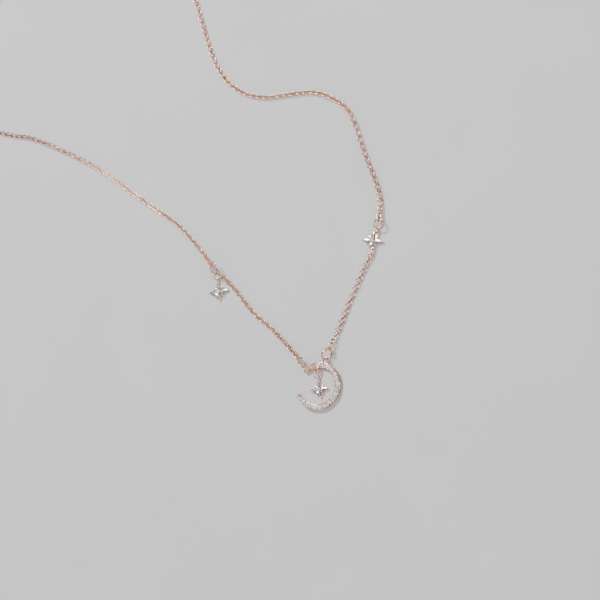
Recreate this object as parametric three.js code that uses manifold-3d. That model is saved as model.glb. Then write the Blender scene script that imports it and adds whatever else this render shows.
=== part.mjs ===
// A rose gold pendant necklace, laid flat with its clasp open: a crescent of set stones that
// carries a small star, a star charm on the left of the chain and a star let into it on the right.
// Millimetres, +Z up. The pendant's flat back lies on z = 0 and the whole piece rests there.
import * as THREE from 'three';
import { mergeVertices } from 'three/addons/utils/BufferGeometryUtils.js';
import Module from 'manifold-3d';

const wasm = await Module();
wasm.setup();

// ---- Driving dimensions -------------------------------------------------------------------

const CRESCENT_CENTRE = [61.87, -60.82]; // centre of the pendant in the necklace's own frame
const CRESCENT = {
  outerRadius: 6.0, band: 1.5, thickness: 1.05, undercut: 0.22,
  lowerHorn: -157, lowerWidth: 0.36, lowerTaper: 46, upperHorn: 137, upperWidth: 0.95, upperTaper: 40,
};
const STONES = {
  count: 16, first: -123, pitch: 14.6, onHorn: [-135, -144], girdle: 0.63, seatRadius: 0.65, seatDepth: 0.64,
};
const EYELET = { wire: 0.16, height: 1.02 };
const LEFT_EYELET = { angle: 132.3, reach: 6.32, radius: 0.6 };
const RIGHT_EYELET = { angle: 77.5, reach: 6.6, radius: 0.6 };
const STAR_EYELET = { angle: 100, reach: 3.8, radius: 0.7 };

const JUMP = { radius: 1.4, wire: 0.18 };
const LEFT_JUMP_RADIUS = 1.61;
const LINK = { halfLength: 0.71, halfWidth: 0.49, wire: 0.165 };
const CHAIN = { radius: 0.655, sides: 8, rest: 0.66, raised: 0.86 };
const EXTENDER = { radius: 0.98, rest: 0.99, raised: 1.1 };
const LONG_LINK = { halfLength: 1.2, halfWidth: 0.8, wire: 0.18 };

const STAR = {
  side: 2.8, upright: 2.36, diagonal: 1.8, valley: 1.0, rayTip: 0.24, rayRoot: 0.46, thickness: 0.85,
  bezelRadius: 0.98, bezelTop: 1.15, seatRadius: 0.73, seatDepth: 0.72, stone: 0.68,
};
const CHARM_LOOP = { halfWidth: 0.48, wire: 0.13, height: 0.64 };
const CENTRE_LOOP = { out: 2.55, halfLength: 0.9 };
const LEFT_LOOP = { out: 2.9, halfLength: 1.15 };
const CHARM_RING_WIRE = 0.13;
const CONNECTOR_LOOP = { upper: [0.66, 2.0], lower: [0.47, -2.22], radius: 0.5, wire: 0.14, height: 0.57 };

const LEFT_JUNCTION = { at: [-33.72, 29.71], height: 1.507, heading: 129, roll: -38.6, radius: 1.74 };
const LEFT_STAR = { loopAt: [-32.456, 26.578], up: 101 };
const RIGHT_STAR = { at: [10.98, 36.4], up: 84 };
const CENTRE_STAR_UP = 101.6;

const CLASP = {
  thickness: 2.0, hookCentre: [6.6, 0.35], hookRadius: 1.95, hookWidth: 1.0, hookTip: -48,
  eyeHole: 0.5, eyeRim: 1.02, eyeThickness: 0.76, slot: 0.9,
};
const LEVER = { pivot: [3.1, -0.55], hub: 0.74, thickness: 0.6, bottom: 0.58 };
const RIVET = { radius: 0.3, hole: 0.33 };
const SPRING = { radius: 0.52, wire: 0.08 };
const CLASP_RING = { radius: 0.92, wire: 0.15, roll: 61 };
const END_RING = { radius: 1.3, wire: 0.18, roll: 34, rest: 0.95 };
const DROP = { length: 4.6, radius: 1.35, loop: 0.72, loopWire: 0.16 };

// Routes are measured from the pendant's centre and run away from the pendant.
const LEFT_LOWER_ROUTE = [
  [-7.3, 7.89], [-9.0, 9.2], [-11.0, 10.9], [-13.0, 12.6], [-15.2, 14.3], [-17.9, 16.2],
  [-20.6, 18.1], [-23.8, 21.1], [-26.7, 24.0], [-29.2, 26.2], [-31.1, 27.83],
];
const LEFT_UPPER_ROUTE = [
  [-35.65, 31.6], [-37.4, 33.3], [-39.5, 35.4], [-43.4, 39.1], [-47.1, 42.1], [-51.0, 44.6],
  [-58.6, 48.9], [-64.2, 52.1], [-68.2, 54.6], [-73.4, 57.7], [-78.0, 60.2], [-85.4, 63.6],
  [-91.7, 66.2], [-98.0, 68.7], [-104.5, 70.8], [-111.5, 72.0], [-118.0, 74.0], [-123.4, 78.6],
  [-127.0, 85.5], [-129.2, 94.0], [-130.0, 103.0], [-128.6, 111.6], [-124.6, 118.4], [-118.0, 122.4],
];
const RIGHT_LOWER_ROUTE = [
  [2.62, 10.15], [3.3, 12.8], [4.15, 15.1], [4.85, 17.2], [6.05, 20.8], [7.25, 24.2],
  [8.4, 27.2], [9.35, 29.6], [10.1, 31.2], [10.52, 32.28],
];
const RIGHT_UPPER_ROUTE = [
  [12.32, 43.0], [12.1, 46.3], [10.8, 50.4], [8.9, 54.4], [7.1, 57.9], [5.6, 61.3], [4.1, 64.8],
  [2.5, 68.2], [0.7, 71.0], [-1.8, 73.3], [-4.7, 75.0], [-7.9, 76.3], [-11.4, 77.0],
  [-17.2, 76.9], [-23.6, 76.6], [-30.0, 78.0], [-35.8, 81.4], [-40.4, 86.4], [-44.0, 92.6],
  [-47.2, 99.6], [-50.6, 107.2], [-54.9, 114.2], [-60.6, 119.6], [-68.0, 123.4], [-76.4, 125.6],
];
const EXTENDER_ROUTE = [
  [-83.4, 127.6], [-88.0, 129.6], [-94.4, 131.6], [-102.0, 133.2], [-110.0, 133.8],
  [-118.0, 133.0], [-125.4, 130.4], [-130.4, 126.9],
];

// ---- Finishes -----------------------------------------------------------------------------

const finish = (color, roughness, metalness, extra = {}) =>
  new THREE.MeshStandardMaterial({ color, roughness, metalness, ...extra });
const roseGold = finish(0xe6a98e, 0.18, 1.0);
const brightGold = finish(0xf0bfa6, 0.14, 1.0);
const chainGold = finish(0xe8b298, 0.22, 1.0);
const springSteel = finish(0xb8bcc0, 0.3, 1.0);
const crystal = finish(0xf4f6ff, 0.05, 0.0, { transparent: true, opacity: 0.5 });

// ---- Helpers ------------------------------------------------------------------------------

const rad = THREE.MathUtils.degToRad;
const toward = (degrees, length = 1) =>
  new THREE.Vector3(Math.cos(rad(degrees)) * length, Math.sin(rad(degrees)) * length, 0);
const at = ([x, y], z = 0) => new THREE.Vector3(x, y, z);
const headingOf = (from, to) => THREE.MathUtils.radToDeg(Math.atan2(to.y - from.y, to.x - from.x));

const necklace = new THREE.Group();
necklace.position.set(CRESCENT_CENTRE[0], CRESCENT_CENTRE[1], 0);

/** Adds one named piece. Heading turns it about Z, pitch lifts its +X end, roll turns it about X. */
function piece(name, geometry, material, position, heading = 0, pitch = 0, roll = 0) {
  const mesh = new THREE.Mesh(geometry, material);
  mesh.name = name;
  mesh.position.copy(position);
  mesh.rotation.set(rad(roll), -rad(pitch), rad(heading), 'ZYX');
  necklace.add(mesh);
  return mesh;
}

/** A wire ring in the XY plane, drawn out along X where it is longer than wide. */
function ring(halfLength, halfWidth, wire, around = 20, sides = 8) {
  const geometry = new THREE.TorusGeometry(halfWidth, wire, sides, around);
  const place = geometry.attributes.position;
  const middle = wire * 1e-3;
  for (let i = 0; i < place.count; i += 1) {
    const x = place.getX(i);
    if (Math.abs(x) > middle) place.setX(i, x + Math.sign(x) * (halfLength - halfWidth));
  }
  geometry.computeVertexNormals();
  return geometry;
}

/** The geometry as a solid for joining and cutting. */
function solid(geometry) {
  const bare = geometry.clone();
  bare.deleteAttribute('normal');
  bare.deleteAttribute('uv');
  const merged = mergeVertices(bare, 1e-4);
  const vertProperties = new Float32Array(merged.attributes.position.array);
  const triVerts = new Uint32Array(merged.index.array);
  return new wasm.Manifold(new wasm.Mesh({ numProp: 3, vertProperties, triVerts }));
}

function geometryOf(body) {
  const mesh = body.getMesh();
  const geometry = new THREE.BufferGeometry();
  geometry.setAttribute('position', new THREE.BufferAttribute(mesh.vertProperties, 3));
  geometry.setIndex(new THREE.BufferAttribute(mesh.triVerts, 1));
  geometry.computeVertexNormals();
  return geometry;
}

function joined(geometries) {
  return geometries.map(solid).reduce((whole, body) => whole.add(body));
}

function shapeOf(points) {
  return new THREE.Shape(points.map((p) => new THREE.Vector2(p.x, p.y)));
}

function slab(points, bottom, top) {
  const geometry = new THREE.ExtrudeGeometry(shapeOf(points), { depth: top - bottom, bevelEnabled: false });
  return geometry.translate(0, 0, bottom);
}

/** An upright cylinder between two heights. */
function post(radius, bottom, top, sides = 16) {
  const geometry = new THREE.CylinderGeometry(radius, radius, top - bottom, sides);
  return geometry.rotateX(Math.PI / 2).translate(0, 0, (top + bottom) / 2);
}

/** A round cut stone with its girdle at z = 0, table up. */
function stone(girdle, sides = 8) {
  const profile = [
    [0, -0.88], [1, -0.06], [1, 0.04], [0.58, 0.34], [0, 0.34],
  ].map(([r, z]) => new THREE.Vector2(r * girdle, z * girdle));
  return new THREE.LatheGeometry(profile, sides).rotateX(Math.PI / 2);
}

/** A plain round-section run of chain along a route, with its two ends raised to meet the rings. */
function chainRun(route, radius, rest, raised, steps) {
  const last = route.length - 1;
  const points = route.map((p, i) => at(p, i === 0 ? raised[0] : i === last ? raised[1] : rest));
  const path = new THREE.CatmullRomCurve3(points, false, 'centripetal');
  const section = Array.from({ length: CHAIN.sides }, (_, i) => {
    const turn = ((i + 0.5) / CHAIN.sides) * 2 * Math.PI;
    return new THREE.Vector2(Math.cos(turn) * radius, Math.sin(turn) * radius);
  });
  return new THREE.ExtrudeGeometry(new THREE.Shape(section), { steps, extrudePath: path });
}

// ---- Crescent pendant ---------------------------------------------------------------------

const bandRadius = CRESCENT.outerRadius - CRESCENT.band / 2;

/** The band narrows to a fine horn below, which keeps to the outer edge, and to a blunt one above. */
function bandAt(angle) {
  const { band, lowerHorn, lowerWidth, lowerTaper, upperHorn, upperWidth, upperTaper } = CRESCENT;
  const fromLower = THREE.MathUtils.smoothstep((angle - lowerHorn) / lowerTaper, -0.15, 1);
  const fromUpper = THREE.MathUtils.smoothstep((upperHorn - angle) / upperTaper, -0.15, 1);
  const lower = lowerWidth + (band - lowerWidth) * fromLower;
  const upper = upperWidth + (band - upperWidth) * fromUpper;
  return { width: Math.min(lower, upper), radius: bandRadius + (band - lower) * 0.35 };
}

function crescentOutline(inset) {
  const steps = 44;
  const outer = [];
  const inner = [];
  const edge = (angle) => {
    const { width, radius } = bandAt(angle);
    return { radius, half: width / 2 - Math.min(inset, width * 0.2) };
  };
  for (let i = 0; i <= steps; i += 1) {
    const angle = CRESCENT.lowerHorn + ((CRESCENT.upperHorn - CRESCENT.lowerHorn) * i) / steps;
    const { radius, half } = edge(angle);
    outer.push(toward(angle, radius + half));
    inner.unshift(toward(angle, radius - half));
  }
  const roundHorn = (angle, from) => {
    const { radius, half } = edge(angle);
    return [45, 90, 135].map((turn) => toward(from + turn, half).add(toward(angle, radius)));
  };
  const upper = roundHorn(CRESCENT.upperHorn, CRESCENT.upperHorn);
  const lower = roundHorn(CRESCENT.lowerHorn, CRESCENT.lowerHorn - 180);
  return [...outer, ...upper, ...inner, ...lower];
}

function eyelet({ angle, reach, radius }) {
  const centre = toward(angle, reach).setZ(EYELET.height);
  return ring(radius, radius, EYELET.wire, 16).translate(centre.x, centre.y, centre.z);
}

const alongBand = Array.from({ length: STONES.count }, (_, i) => STONES.first + i * STONES.pitch);
const stoneAngles = [...alongBand, ...STONES.onHorn];
const stoneSize = (angle) => bandAt(angle).width / CRESCENT.band;

function crescentFrame() {
  const { thickness, undercut } = CRESCENT;
  const eyelets = [LEFT_EYELET, RIGHT_EYELET, STAR_EYELET].map(eyelet);
  const back = slab(crescentOutline(undercut), 0, thickness / 2);
  const face = slab(crescentOutline(0), thickness / 2 - 0.05, thickness);
  let body = joined([face, back, ...eyelets]);
  for (const angle of stoneAngles) {
    const centre = toward(angle, bandAt(angle).radius);
    const size = stoneSize(angle);
    const floor = thickness - STONES.seatDepth * size;
    const seat = post(STONES.seatRadius * size, floor, thickness + 0.2, 12);
    body = body.subtract(solid(seat.translate(centre.x, centre.y, 0)));
  }
  return geometryOf(body);
}

piece('crescent_frame', crescentFrame(), roseGold, at([0, 0]));
stoneAngles.forEach((angle, i) => {
  const place = toward(angle, bandAt(angle).radius).setZ(CRESCENT.thickness - 0.04);
  const number = String(i + 1).padStart(2, '0');
  piece(`crescent_stone_${number}`, stone(STONES.girdle * stoneSize(angle)), crystal, place, angle);
});

// ---- Jump rings and the links that hook them ------------------------------------------------

/** A ring hooked on a point: its centre lies reach away along heading, and aside to the left. */
function hookedRing(name, hook, place, radius = JUMP.radius, wire = JUMP.wire) {
  const { heading, reach, aside = 0, height, pitch = 0, roll } = place;
  const centre = toward(heading, reach).add(toward(heading + 90, aside)).add(hook).setZ(height);
  piece(name, ring(radius, radius, wire), roseGold, centre, heading, pitch, roll);
  return centre;
}

/** The chain's last link: it hooks the ring at the given centre and points away from it. */
function endLink(name, ringCentre, { heading, reach, height, pitch, roll }) {
  const centre = toward(heading, reach).add(ringCentre).setZ(height);
  const shape = ring(LINK.halfLength, LINK.halfWidth, LINK.wire, 18);
  return piece(name, shape, chainGold, centre, heading, pitch, roll);
}

const eyeletCentre = ({ angle, reach }) => toward(angle, reach);

const leftRing = hookedRing('left_jump_ring', eyeletCentre(LEFT_EYELET), {
  heading: 129, reach: 1.594, aside: -0.047, height: 1.448, pitch: 15.3, roll: -49.9,
}, LEFT_JUMP_RADIUS);
endLink('left_lower_chain_link_at_pendant', leftRing, {
  heading: 137, reach: 1.524, height: 1.525, pitch: -4, roll: 44.1,
});

const rightRing = hookedRing('right_jump_ring', eyeletCentre(RIGHT_EYELET), {
  heading: 80, reach: 1.417, aside: -0.113, height: 1.502, pitch: 31.9, roll: 66.3,
});
endLink('right_lower_chain_link_at_pendant', rightRing, {
  heading: 70, reach: 1.368, height: 1.561, pitch: -38.8, roll: -19.4,
});

// ---- Left junction: jump ring between the two left chains, which also carries the star -------

const leftJunction = at(LEFT_JUNCTION.at, LEFT_JUNCTION.height);
const leftJunctionShape = ring(LEFT_JUNCTION.radius, LEFT_JUNCTION.radius, JUMP.wire);
piece('left_junction_ring', leftJunctionShape, roseGold, leftJunction,
  LEFT_JUNCTION.heading, 0, LEFT_JUNCTION.roll);
endLink('left_lower_chain_link_at_charm', leftJunction, {
  heading: -37, reach: 1.914, height: 1.753, pitch: -16.5, roll: 130.5,
});
endLink('left_upper_chain_link_at_charm', leftJunction, {
  heading: 137, reach: 1.659, height: 1.31, pitch: -19.5, roll: 67.5,
});

// ---- Chains ---------------------------------------------------------------------------------

const chainEnds = [CHAIN.raised, CHAIN.raised];
const run = (route, ends, steps) => chainRun(route, CHAIN.radius, CHAIN.rest, ends, steps);
piece('left_lower_chain', run(LEFT_LOWER_ROUTE, chainEnds, 8), chainGold, at([0, 0]));
piece('left_upper_chain', run(LEFT_UPPER_ROUTE, chainEnds, 30), chainGold, at([0, 0]));
piece('right_lower_chain', run(RIGHT_LOWER_ROUTE, [CHAIN.raised, CHAIN.rest], 7), chainGold, at([0, 0]));
piece('right_upper_chain', run(RIGHT_UPPER_ROUTE, chainEnds, 30), chainGold, at([0, 0]));

// ---- Stars ----------------------------------------------------------------------------------

function starOutline(size) {
  const points = [];
  for (let i = 0; i < 8; i += 1) {
    const angle = 90 + i * 45;
    const length = i % 2 ? STAR.diagonal : i % 4 ? STAR.side : STAR.upright;
    const ray = toward(angle, size);
    const across = toward(angle + 90, size);
    const corner = (out, side) => ray.clone().multiplyScalar(out).addScaledVector(across, side);
    const tip = i % 2 ? STAR.rayTip * 0.8 : STAR.rayTip;
    points.push(
      corner(STAR.valley, -STAR.rayRoot),
      corner(length - tip, -tip),
      corner(length - tip * 0.3, -tip * 0.7),
      corner(length, 0),
      corner(length - tip * 0.3, tip * 0.7),
      corner(length - tip, tip),
    );
  }
  return points;
}

/** A star with a cup for its stone. Up is +Y, its flat back on z = 0, and loops are joined to it. */
function starFrame(loops, size) {
  const body = joined([
    slab(starOutline(size), 0, STAR.thickness),
    post(STAR.bezelRadius * size, 0.2, STAR.bezelTop, 20),
    ...loops,
  ]);
  const seat = post(STAR.seatRadius * size, STAR.bezelTop - STAR.seatDepth, STAR.bezelTop + 0.2, 16);
  return geometryOf(body.subtract(solid(seat)));
}

function charmStar(size, { out, halfLength }) {
  const { halfWidth, wire, height } = CHARM_LOOP;
  const loop = ring(halfLength, halfWidth, wire, 18).rotateX(Math.PI / 2).rotateZ(Math.PI / 2);
  return starFrame([loop.translate(0, out, height)], size);
}

function connectorStar() {
  const { upper, lower, radius, wire, height } = CONNECTOR_LOOP;
  const loop = ([x, y]) => ring(radius, radius, wire, 16).translate(x, y, height);
  return starFrame([loop(upper), loop(lower)], 1);
}

function placeStar(name, geometry, centre, up, size = 1) {
  piece(name, geometry, brightGold, centre, up - 90);
  const stoneHeight = centre.clone().setZ(centre.z + STAR.bezelTop - 0.1);
  piece(`${name}_stone`, stone(STAR.stone * size, 10), crystal, stoneHeight, up - 90);
}

const starEyelet = eyeletCentre(STAR_EYELET);
hookedRing('centre_star_ring', starEyelet, {
  heading: CENTRE_STAR_UP, reach: -1.024, height: 0.89, pitch: 15.8, roll: 46.3,
}, 0.85, CHARM_RING_WIRE);
const centreStar = toward(CENTRE_STAR_UP, -2.108 - CENTRE_LOOP.out).add(starEyelet);
placeStar('centre_star', charmStar(0.85, CENTRE_LOOP), centreStar, CENTRE_STAR_UP, 0.85);

hookedRing('left_star_ring', leftJunction, {
  heading: 110.3, reach: -2.107, height: 0.964, pitch: 10.9, roll: 29.1,
}, 0.9, CHARM_RING_WIRE);
const leftStar = at(LEFT_STAR.loopAt).add(toward(LEFT_STAR.up, -LEFT_LOOP.out));
placeStar('left_star', charmStar(1, LEFT_LOOP), leftStar, LEFT_STAR.up);

const rightStar = at(RIGHT_STAR.at);
placeStar('right_star', connectorStar(), rightStar, RIGHT_STAR.up);

const onRightStar = (point) =>
  at(point).applyAxisAngle(new THREE.Vector3(0, 0, 1), rad(RIGHT_STAR.up - 90)).add(rightStar);
const upperLoop = onRightStar(CONNECTOR_LOOP.upper);
hookedRing('right_star_ring', upperLoop, {
  heading: 80, reach: 0.669, height: 0.691, pitch: 38.1, roll: 81.8,
}, 0.55, 0.14);
const rightJunction = hookedRing('right_junction_ring', upperLoop, {
  heading: 76, reach: 2.173, height: 1.107, pitch: 12.9, roll: -12.8,
});
endLink('right_upper_chain_link_at_star', rightJunction, {
  heading: 91, reach: 1.239, height: 1.298, pitch: -12.9, roll: 97.2,
});
endLink('right_lower_chain_link_at_star', onRightStar(CONNECTOR_LOOP.lower), {
  heading: -96, reach: 0.659, height: 0.685, pitch: 5.1, roll: 86.7,
});

// ---- Lobster clasp at the end of the left chain ----------------------------------------------

const lastOf = (route) => at(route[route.length - 1]);
const endHeading = (route) => headingOf(at(route[route.length - 2]), lastOf(route));
const clasp = new THREE.Group();
necklace.add(clasp);

function arcPoints(centre, radius, from, to, count) {
  return Array.from({ length: count + 1 }, (_, i) =>
    toward(from + ((to - from) * i) / count, radius).add(centre));
}

function claspPiece(name, geometry, material, height = 0, point = [0, 0]) {
  const mesh = new THREE.Mesh(geometry, material);
  mesh.name = name;
  mesh.position.set(point[0], point[1], height);
  clasp.add(mesh);
}

function claspBody() {
  const centre = at(CLASP.hookCentre);
  const half = CLASP.hookWidth / 2;
  const hook = [
    ...arcPoints(centre, CLASP.hookRadius + half, CLASP.hookTip, 200, 22),
    ...arcPoints(centre, CLASP.hookRadius - half, 200, CLASP.hookTip, 22),
  ];
  const shank = [
    [0.6, -0.5], [1.5, -1.15], [2.3, -1.4], [3.4, -1.4], [4.15, -1.0], [4.5, -0.3],
    [4.6, 0.8], [5.0, 1.8], [4.7, 2.0], [3.6, 1.75], [2.2, 1.25], [0.6, 0.5],
  ].map((p) => at(p));
  const opening = [
    [2.1, -2.6], [2.1, -0.4], [2.6, 0.35], [3.4, 0.7], [5.5, 1.75], [6.2, 0.2], [6.2, -2.6],
  ].map((p) => at(p));
  const middle = CLASP.thickness / 2;
  const eyeBottom = middle - CLASP.eyeThickness / 2;
  const eyeTop = middle + CLASP.eyeThickness / 2;
  const body = joined([
    slab(hook, 0, CLASP.thickness),
    slab(shank, 0, CLASP.thickness),
    post(CLASP.eyeRim, eyeBottom, eyeTop, 20),
  ]);
  const hinge = post(RIVET.hole, -0.5, CLASP.thickness + 0.5).translate(...LEVER.pivot, 0);
  return geometryOf(body
    .subtract(solid(slab(opening, middle - CLASP.slot / 2, middle + CLASP.slot / 2)))
    .subtract(solid(post(CLASP.eyeHole, -0.5, CLASP.thickness + 0.5)))
    .subtract(solid(hinge)));
}

/** The lever, drawn with its pivot at the origin: a curved gate on one side, a thumb tab on the other. */
function claspLever() {
  const gate = [
    [-0.1, -0.62], [1.2, -0.95], [2.4, -1.35], [3.6, -1.5], [4.25, -1.32],
    [4.1, -0.78], [3.4, -0.82], [2.4, -0.62], [1.4, -0.18], [0.35, 0.5],
  ].map((p) => at(p));
  const tab = [
    [-0.5, -0.2], [-0.72, -1.3], [-0.9, -1.9], [-0.5, -2.2], [0.05, -2.05], [0.3, -1.4], [0.5, -0.4],
  ].map((p) => at(p));
  const body = joined([
    post(LEVER.hub, 0, LEVER.thickness, 20),
    slab(gate, 0, LEVER.thickness),
    slab(tab, 0, LEVER.thickness),
  ]);
  return geometryOf(body.subtract(solid(post(RIVET.hole, -0.5, LEVER.thickness + 0.5))));
}

const claspHeading = 4;
const leftChainEnd = lastOf(LEFT_UPPER_ROUTE);
const leftEndHeading = endHeading(LEFT_UPPER_ROUTE);
const claspRing = toward(leftEndHeading, 2.25).add(leftChainEnd).setZ(1.0);
endLink('left_upper_chain_link_at_clasp', claspRing, {
  heading: leftEndHeading + 180, reach: 1.094, height: 0.52, pitch: -8.1, roll: 22.7,
});
const claspRingShape = ring(CLASP_RING.radius, CLASP_RING.radius, CLASP_RING.wire);
piece('clasp_ring', claspRingShape, roseGold, claspRing, claspHeading, 0, CLASP_RING.roll);
clasp.position.copy(toward(claspHeading, CLASP_RING.radius).add(claspRing).setZ(0));
clasp.rotation.z = rad(claspHeading);
claspPiece('clasp_body', claspBody(), roseGold);
claspPiece('clasp_lever', claspLever(), brightGold, LEVER.bottom, LEVER.pivot);
const springHeight = LEVER.bottom + LEVER.thickness + SPRING.wire + 0.04;
claspPiece('clasp_spring', ring(SPRING.radius, SPRING.radius, SPRING.wire, 16), springSteel,
  springHeight, LEVER.pivot);
claspPiece('clasp_rivet', post(RIVET.radius, 0, CLASP.thickness), brightGold, 0, LEVER.pivot);

// ---- End ring, extender chain and its drop at the end of the right chain ----------------------

const rightHeading = endHeading(RIGHT_UPPER_ROUTE);
const endRing = toward(rightHeading, 2.6).add(lastOf(RIGHT_UPPER_ROUTE)).setZ(END_RING.rest);
endLink('right_upper_chain_link_at_end', endRing, {
  heading: rightHeading + 180, reach: 1.46, height: 0.94, pitch: -14, roll: 111.9,
});
piece('end_ring', ring(END_RING.radius, END_RING.radius, END_RING.wire), roseGold, endRing,
  rightHeading, 0, -END_RING.roll);

const extenderStart = at(EXTENDER_ROUTE[0]);
const extenderHeading = headingOf(endRing, extenderStart);
const longLink = () => ring(LONG_LINK.halfLength, LONG_LINK.halfWidth, LONG_LINK.wire, 18);
const firstLong = toward(extenderHeading, END_RING.radius + 0.75).add(endRing).setZ(1.08);
piece('extender_link_at_ring', longLink(), chainGold, firstLong, extenderHeading, -5, 52);
const extenderRaised = [EXTENDER.raised, EXTENDER.raised];
const extender = chainRun(EXTENDER_ROUTE, EXTENDER.radius, EXTENDER.rest, extenderRaised, 8);
piece('extender_chain', extender, chainGold, at([0, 0]));
const dropHeading = endHeading(EXTENDER_ROUTE);
const lastLong = toward(dropHeading, LONG_LINK.halfLength + 0.3).add(lastOf(EXTENDER_ROUTE)).setZ(1.13);
piece('extender_link_at_drop', longLink(), chainGold, lastLong, dropHeading, 4.8, 68);

/** A small teardrop lying on its side along +X with a wire loop at its thin end. */
function endDrop() {
  const { length, radius, loop, loopWire } = DROP;
  const profile = [
    [0, 0], [0.24, 0.05], [0.34, 0.3], [0.5, 0.42], [0.78, 0.6], [0.95, 0.74],
    [1.0, 0.83], [0.93, 0.91], [0.7, 0.97], [0.35, 0.995], [0, 1],
  ].map(([r, y]) => new THREE.Vector2(r * radius, y * length));
  const tear = new THREE.LatheGeometry(profile, 16).rotateZ(-Math.PI / 2);
  const hoop = ring(loop, loop, loopWire, 18).translate(-loop + 0.1, 0, 0);
  return geometryOf(joined([tear, hoop]));
}

const dropCentre = toward(dropHeading, 1.25 + DROP.loop - 0.1).add(lastLong);
piece('end_drop', endDrop(), brightGold, dropCentre.setZ(DROP.radius), dropHeading, 0, 0);

export default necklace;
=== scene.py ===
"""A rose gold pendant necklace laid flat: crescent, star charms, cable chain, open clasp."""

import math
import random

import bmesh
import bpy
from mathutils import Euler, Matrix, Vector


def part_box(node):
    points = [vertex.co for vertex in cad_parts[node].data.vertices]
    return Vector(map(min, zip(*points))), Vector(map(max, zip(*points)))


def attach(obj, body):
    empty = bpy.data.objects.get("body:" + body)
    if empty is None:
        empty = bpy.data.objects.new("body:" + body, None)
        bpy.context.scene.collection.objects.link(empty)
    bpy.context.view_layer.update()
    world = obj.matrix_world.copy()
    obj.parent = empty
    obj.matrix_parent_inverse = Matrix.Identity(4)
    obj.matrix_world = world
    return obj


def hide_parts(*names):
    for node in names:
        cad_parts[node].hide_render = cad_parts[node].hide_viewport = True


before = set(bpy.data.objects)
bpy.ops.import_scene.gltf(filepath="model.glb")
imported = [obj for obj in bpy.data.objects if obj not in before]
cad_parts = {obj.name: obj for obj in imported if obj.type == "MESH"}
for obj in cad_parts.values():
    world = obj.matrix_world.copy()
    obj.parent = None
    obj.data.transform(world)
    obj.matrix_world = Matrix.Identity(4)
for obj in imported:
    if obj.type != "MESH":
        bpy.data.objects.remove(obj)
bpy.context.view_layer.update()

MM = 0.001
UP = Vector((0.0, 0.0, 1.0))
PENDANT = Vector((61.87, -60.82, 0.0)) * MM  # the crescent's centre on the floor

# ---- Camera ------------------------------------------------------------------------------

VIEW_FROM = Vector((135.69, -33.90, 260.11)) * MM
VIEW_ALONG = Vector((-0.4752, 0.1838, -0.8605)).normalized()
VIEW_UP = Vector((0.0, 0.9779, 0.2089)).normalized()
FIELD_OF_VIEW = math.radians(28.0)


def make_camera():
    data = bpy.data.cameras.new("camera")
    data.sensor_fit = "HORIZONTAL"
    data.angle = FIELD_OF_VIEW
    data.clip_start = 0.005
    data.clip_end = 20.0
    camera = bpy.data.objects.new("camera", data)
    right = VIEW_ALONG.cross(VIEW_UP).normalized()
    up = right.cross(VIEW_ALONG)
    turn = Matrix((right, up, -VIEW_ALONG)).transposed().to_4x4()
    camera.matrix_world = Matrix.Translation(PENDANT + VIEW_FROM) @ turn
    bpy.context.scene.collection.objects.link(camera)
    bpy.context.scene.camera = camera


make_camera()

# ---- Dimensions, in millimetres until they are used --------------------------------------

BAND_OUTER, BAND_WIDTH, BAND_HEIGHT, UNDERCUT = 6.0, 1.5, 1.05, 0.22
LOWER_HORN, LOWER_WIDTH, LOWER_TAPER = -157.0, 0.36, 46.0
UPPER_HORN, UPPER_WIDTH, UPPER_TAPER = 137.0, 0.95, 40.0
BAND_RADIUS = BAND_OUTER - BAND_WIDTH / 2
STONE_STEP, STONE_RADIUS, SEAT_RADIUS, SEAT_DEPTH = 14.6, 0.63, 0.65, 0.64
STONE_ANGLES = [-123.0 + STONE_STEP * i for i in range(16)] + [-135.0, -144.0]
EYELET_HEIGHT, EYELET_WIRE = 1.02, 0.16
EYELETS = [(132.3, 6.32, 0.6), (77.5, 6.6, 0.6), (100.0, 3.8, 0.7)]  # angle, reach, radius

JUMP_RADIUS, JUMP_WIRE = 1.4, 0.18
LINK_HALF_LENGTH, LINK_HALF_WIDTH, LINK_WIRE = 0.71, 0.49, 0.165
LONG_HALF_LENGTH, LONG_HALF_WIDTH, LONG_WIRE, LONG_STEP = 1.2, 0.8, 0.18, 1.98
CHARM_RING_WIRE = 0.13
CLASP_HEADING, CLASP_RING_RADIUS = 4, 0.92

# Routes as in part.mjs, measured from the pendant's centre.
LEFT_LOWER_ROUTE = [
    (-7.3, 7.89), (-9.0, 9.2), (-11.0, 10.9), (-13.0, 12.6), (-15.2, 14.3), (-17.9, 16.2),
    (-20.6, 18.1), (-23.8, 21.1), (-26.7, 24.0), (-29.2, 26.2), (-31.1, 27.83),
]
LEFT_UPPER_ROUTE = [
    (-35.65, 31.6), (-37.4, 33.3), (-39.5, 35.4), (-43.4, 39.1), (-47.1, 42.1), (-51.0, 44.6),
    (-58.6, 48.9), (-64.2, 52.1), (-68.2, 54.6), (-73.4, 57.7), (-78.0, 60.2), (-85.4, 63.6),
    (-91.7, 66.2), (-98.0, 68.7), (-104.5, 70.8), (-111.5, 72.0), (-118.0, 74.0),
    (-123.4, 78.6), (-127.0, 85.5), (-129.2, 94.0), (-130.0, 103.0), (-128.6, 111.6),
    (-124.6, 118.4), (-118.0, 122.4),
]
RIGHT_LOWER_ROUTE = [
    (2.62, 10.15), (3.3, 12.8), (4.15, 15.1), (4.85, 17.2), (6.05, 20.8), (7.25, 24.2),
    (8.4, 27.2), (9.35, 29.6), (10.1, 31.2), (10.52, 32.28),
]
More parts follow.
